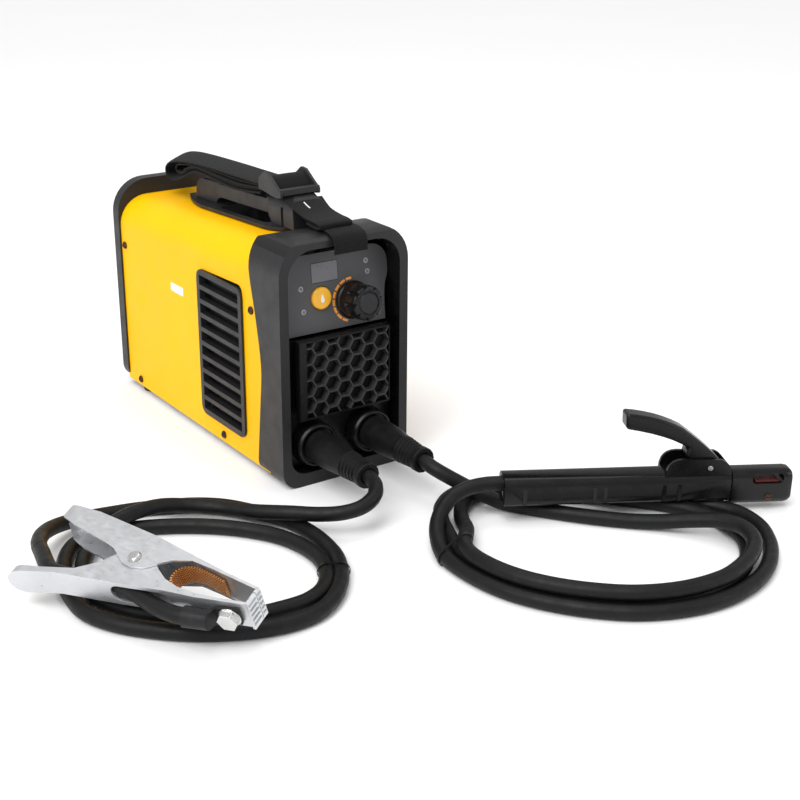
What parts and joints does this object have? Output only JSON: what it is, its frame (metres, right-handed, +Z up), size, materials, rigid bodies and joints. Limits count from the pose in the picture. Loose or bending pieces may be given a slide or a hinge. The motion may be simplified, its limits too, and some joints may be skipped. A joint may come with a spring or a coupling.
{
  "type": "stick welder",
  "caption": "Portable inverter stick welder with carry handle, folded shoulder strap, electrode holder and earth clamp on coiled cables.",
  "frame": {"origin": "bottom centre of everything but the two cords and what is on them", "axes": "+X right seen from the front, +Z up, the control panel faces -Y"},
  "size_m": [0.5666, 0.625, 0.237],
  "materials": {
    "yellow_paint": "semi-gloss",
    "dark_plastic": "fine textured",
    "black_plastic": "satin",
    "grey_panel": "matt",
    "window": "gloss",
    "orange_button": "satin",
    "rubber": "matt",
    "webbing": "woven",
    "zinc_steel": "zinc plated",
    "dark_steel": "blackened",
    "copper": "bare copper",
    "brass": "machined",
    "aluminium": "mill finish",
    "green_board": "lacquered"
  },
  "bodies": {
    "machine": {"cover_shell": "yellow_paint", "base_pan": "zinc_steel", "front_bezel": "dark_plastic", "rear_bezel": "dark_plastic", "rear_foot_left": "rubber", "rear_foot_right": "rubber", "vent_left": "dark_plastic", "vent_right": "dark_plastic", "control_panel": "grey_panel", "display_window": "window", "potentiometer": "zinc_steel", "control_board": "green_board", "lower_fascia": "black_plastic", "hex_grille": "black_plastic", "socket_left": "black_plastic", "plug_pin_left": "brass", "plug_boot_left": "rubber", "socket_right": "black_plastic", "plug_pin_right": "brass", "plug_boot_right": "rubber", "rear_panel": "dark_plastic", "fan_frame": "black_plastic", "power_switch_body": "black_plastic", "cable_gland": "black_plastic", "main_board": "green_board", "heatsink": "aluminium", "transformer": "dark_steel", "capacitor": "dark_plastic", "handle_tray": "dark_plastic", "handle_grip": "dark_plastic", "strap_bundle": "webbing", "strap_tail": "webbing", "strap_buckle": "grey_panel", "holder_handle": "black_plastic", "holder_pivot_pin": "zinc_steel", "holder_head": "black_plastic", "jaw_insert": "copper", "head_screw": "dark_steel", "clamp_lower_jaw": "zinc_steel", "clamp_rivet": "zinc_steel", "clamp_spring": "zinc_steel", "copper_braid": "copper", "cable_lug": "rubber", "clamp_bolt": "zinc_steel", "earth_cable": "rubber", "electrode_cable": "rubber", "screw_left_1": "dark_steel", "screw_left_2": "dark_steel", "screw_left_3": "dark_steel", "screw_left_4": "dark_steel", "screw_right_1": "dark_steel", "screw_right_2": "dark_steel", "screw_right_3": "dark_steel", "screw_right_4": "dark_steel"},
    "clamp_upper_jaw_body": {"clamp_upper_jaw": "zinc_steel"},
    "current_knob_body": {"current_knob": "black_plastic"},
    "fan_rotor_body": {"fan_rotor": "black_plastic"},
    "holder_lever_body": {"holder_lever": "black_plastic"},
    "mode_button_body": {"mode_button": "orange_button"},
    "power_rocker_body": {"power_rocker": "black_plastic"}
  },
  "joints": [
    {"name": "knob_turn", "type": "hinge", "parent": "machine", "child": "current_knob_body", "pos_m": [0.0403, -0.00916, 0.14334], "axis": [0, -0.9931, 0.1173], "range_deg": [-140, 140]},
    {"name": "button_press", "type": "slide", "parent": "machine", "child": "mode_button_body", "axis": [0, 0.9931, -0.1173], "range_m": [0, 0.0015], "stiffness_N_per_m": 300},
    {"name": "rocker_flip", "type": "hinge", "parent": "machine", "child": "power_rocker_body", "pos_m": [0.0548, 0.2522, 0.148], "axis": [-1, 0, 0], "range_deg": [0, 14]},
    {"name": "fan_spin", "type": "hinge", "parent": "machine", "child": "fan_rotor_body", "pos_m": [0.0248, 0.2439, 0.078], "axis": [0, -1, 0], "continuous": true},
    {"name": "lever_squeeze", "type": "hinge", "parent": "machine", "child": "holder_lever_body", "pos_m": [0.21886, -0.23217, 0.03894], "axis": [-0.4664, -0.8846, 0], "range_deg": [0, 18], "stiffness_Nm_per_rad": 1.5, "springref_deg": -17.19},
    {"name": "clamp_open", "type": "hinge", "parent": "machine", "child": "clamp_upper_jaw_body", "pos_m": [-0.2112, -0.1378, 0.0356], "axis": [-0.3221, -0.1571, 0.9336], "range_deg": [0, 14.5], "stiffness_Nm_per_rad": 3, "springref_deg": -17.19, "deforming": ["clamp_spring", "copper_braid"]}
  ]
}
